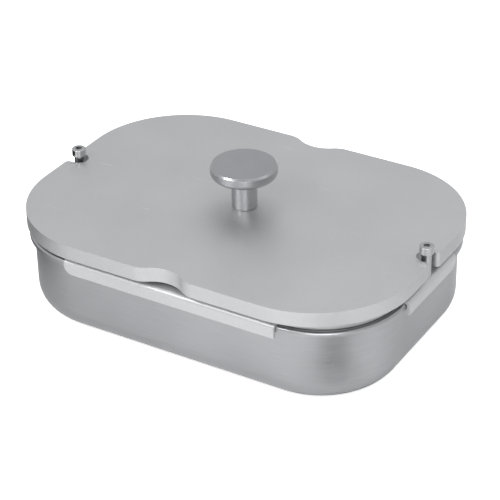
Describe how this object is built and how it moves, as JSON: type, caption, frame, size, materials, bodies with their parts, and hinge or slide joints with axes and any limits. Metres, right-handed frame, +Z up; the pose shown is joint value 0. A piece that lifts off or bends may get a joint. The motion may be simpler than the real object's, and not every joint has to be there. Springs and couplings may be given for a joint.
{
  "type": "platelet-rich fibrin box",
  "caption": "Steel tray with a folded drain plate and a thick press plate on guide posts, lifted by a mushroom knob.",
  "frame": {"origin": "centre of the tray's footprint on the surface that it stands on", "axes": "+X along the length towards the right guide post, +Y towards the back, +Z up to the knob"},
  "size_m": [0.2, 0.145, 0.075],
  "materials": {
    "tray_steel": "brushed, drawn stainless steel",
    "drain_steel": "satin stainless steel",
    "blasted_steel": "bead-blasted stainless steel",
    "turned_steel": "fine turned stainless steel",
    "bright_steel": "bright turned stainless steel"
  },
  "bodies": {
    "tray": {"tray": "tray_steel"},
    "drain": {"drain_plate": "drain_steel", "guide_post_left": "bright_steel", "guide_post_right": "bright_steel"},
    "lid": {"press_plate": "blasted_steel", "knob": "turned_steel", "knob_screw": "bright_steel", "spacer_foot_1": "bright_steel", "spacer_foot_2": "bright_steel", "spacer_foot_3": "bright_steel", "spacer_foot_4": "bright_steel"}
  },
  "joints": [
    {"name": "drain_lift", "type": "slide", "parent": "tray", "child": "drain", "axis": [0, 0, 1], "range_m": [0, 0.05]},
    {"name": "lid_lift", "type": "slide", "parent": "drain", "child": "lid", "axis": [0, 0, 1], "range_m": [0, 0.06]}
  ]
}
